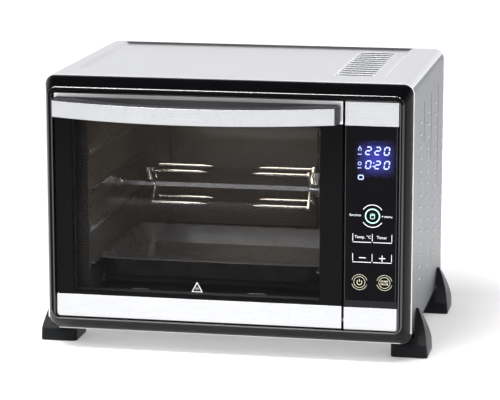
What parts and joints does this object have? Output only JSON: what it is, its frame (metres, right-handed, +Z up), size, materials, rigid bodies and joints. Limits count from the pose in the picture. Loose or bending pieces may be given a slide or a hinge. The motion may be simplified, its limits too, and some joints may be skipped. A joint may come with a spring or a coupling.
{
  "type": "toaster oven",
  "caption": "Counter-top electric oven with a glazed drop-down door, bowed handle, side touch panel, rotisserie spit, hot-air fan and baking tray in a steel casing on moulded feet.",
  "frame": {"origin": "on the table under the middle of the oven's overall box", "axes": "+X to the right seen from the front, +Y towards the back, +Z up; the door faces -Y"},
  "size_m": [0.537, 0.437, 0.377],
  "materials": {
    "case_steel": "brushed stainless sheet",
    "bezel_black": "polished black moulding",
    "frame_black": "fine-textured black moulding",
    "chassis_steel": "zinc-coated sheet steel",
    "cover_black": "black powder-coated sheet",
    "cavity_steel": "dark enamelled sheet",
    "trim_steel": "finely brushed stainless",
    "door_glass": "tempered glass with a printed black border",
    "inner_glass": "clear tempered glass",
    "touch_glass": "black-backed touch glass",
    "display": "dark window over light segments",
    "board_green": "solder-masked circuit board",
    "element_steel": "oxidised heater sheath",
    "ceramic": "unglazed steatite",
    "bright_steel": "polished chromed steel",
    "zinc": "zinc plated",
    "black_screw": "black oxide",
    "motor_steel": "laminated and plated steel",
    "tray_enamel": "dark vitreous enamel",
    "lamp_glass": "heat-resistant glass",
    "rubber_pad": "soft black rubber",
    "foot_black": "satin black moulding"
  },
  "bodies": {
    "oven": {"outer_casing": "case_steel", "base_plate": "chassis_steel", "rear_cover": "cover_black", "cord_gland": "frame_black", "rear_screws": "black_screw", "front_bezel": "bezel_black", "front_plate": "cavity_steel", "cavity_left": "cavity_steel", "cavity_right": "cavity_steel", "cavity_ceiling": "cavity_steel", "cavity_floor": "cavity_steel", "cavity_back": "cavity_steel", "left_guides": "bright_steel", "right_guides": "bright_steel", "upper_heaters": "element_steel", "lower_heaters": "element_steel", "heater_insulators": "ceramic", "fan_grille": "bright_steel", "fan_motor": "motor_steel", "spit_bearing": "bright_steel", "spit_motor": "motor_steel", "lamp_holder": "ceramic", "lamp_bulb": "lamp_glass", "lamp_lens": "lamp_glass", "temperature_probe": "bright_steel", "thermal_cutout": "zinc", "heat_shield": "chassis_steel", "power_board": "board_green", "terminal_block": "frame_black", "panel_frame": "frame_black", "touch_glass": "touch_glass", "display_module": "display", "touch_board": "board_green", "badge_plate": "trim_steel", "panel_trim_plate": "trim_steel", "hinge_brackets": "zinc", "left_feet": "foot_black", "right_feet": "foot_black", "foot_pads": "rubber_pad", "foot_screws": "zinc"},
    "door": {"door_frame": "frame_black", "outer_glass": "door_glass", "inner_glass": "inner_glass", "glass_clips": "zinc", "top_trim": "trim_steel", "bottom_trim": "trim_steel", "handle_base": "frame_black", "handle_grip": "frame_black", "handle_face": "trim_steel", "handle_screws": "zinc", "hinge_pins": "zinc", "stay_arms": "zinc"},
    "spit": {"spit_rod": "bright_steel", "drive_coupling": "bright_steel"},
    "left_fork": {"left_fork": "bright_steel"},
    "right_fork": {"right_fork": "bright_steel"},
    "left_thumbscrew": {"left_thumbscrew": "bright_steel"},
    "right_thumbscrew": {"right_thumbscrew": "bright_steel"},
    "fan": {"fan_impeller": "zinc"},
    "tray": {"baking_tray": "tray_enamel"}
  },
  "joints": [
    {"name": "door_hinge", "type": "hinge", "parent": "oven", "child": "door", "pos_m": [0, -0.1445, 0.058], "axis": [1, 0, 0], "range_deg": [0, 85]},
    {"name": "spit_turn", "type": "hinge", "parent": "oven", "child": "spit", "pos_m": [0, 0.0155, 0.203], "axis": [1, 0, 0], "continuous": true},
    {"name": "left_fork_slide", "type": "slide", "parent": "spit", "child": "left_fork", "axis": [1, 0, 0], "range_m": [-0.03, 0.03]},
    {"name": "right_fork_slide", "type": "slide", "parent": "spit", "child": "right_fork", "axis": [1, 0, 0], "range_m": [-0.03, 0.006]},
    {"name": "left_thumbscrew_turn", "type": "hinge", "parent": "left_fork", "child": "left_thumbscrew", "pos_m": [-0.141, 0.0155, 0.22], "axis": [0, 0, 1], "range_deg": [-180, 180]},
    {"name": "right_thumbscrew_turn", "type": "hinge", "parent": "right_fork", "child": "right_thumbscrew", "pos_m": [0.096, 0.0155, 0.22], "axis": [0, 0, 1], "range_deg": [-180, 180]},
    {"name": "fan_spin", "type": "hinge", "parent": "oven", "child": "fan", "pos_m": [0.11, 0.0905, 0.25], "axis": [1, 0, 0], "continuous": true},
    {"name": "tray_slide", "type": "slide", "parent": "oven", "child": "tray", "axis": [0, -1, 0], "range_m": [0, 0.124]}
  ],
  "couplings": [
    {"joint": "tray_slide", "follows": "door_hinge", "m_per_rad": 0.08}
  ]
}
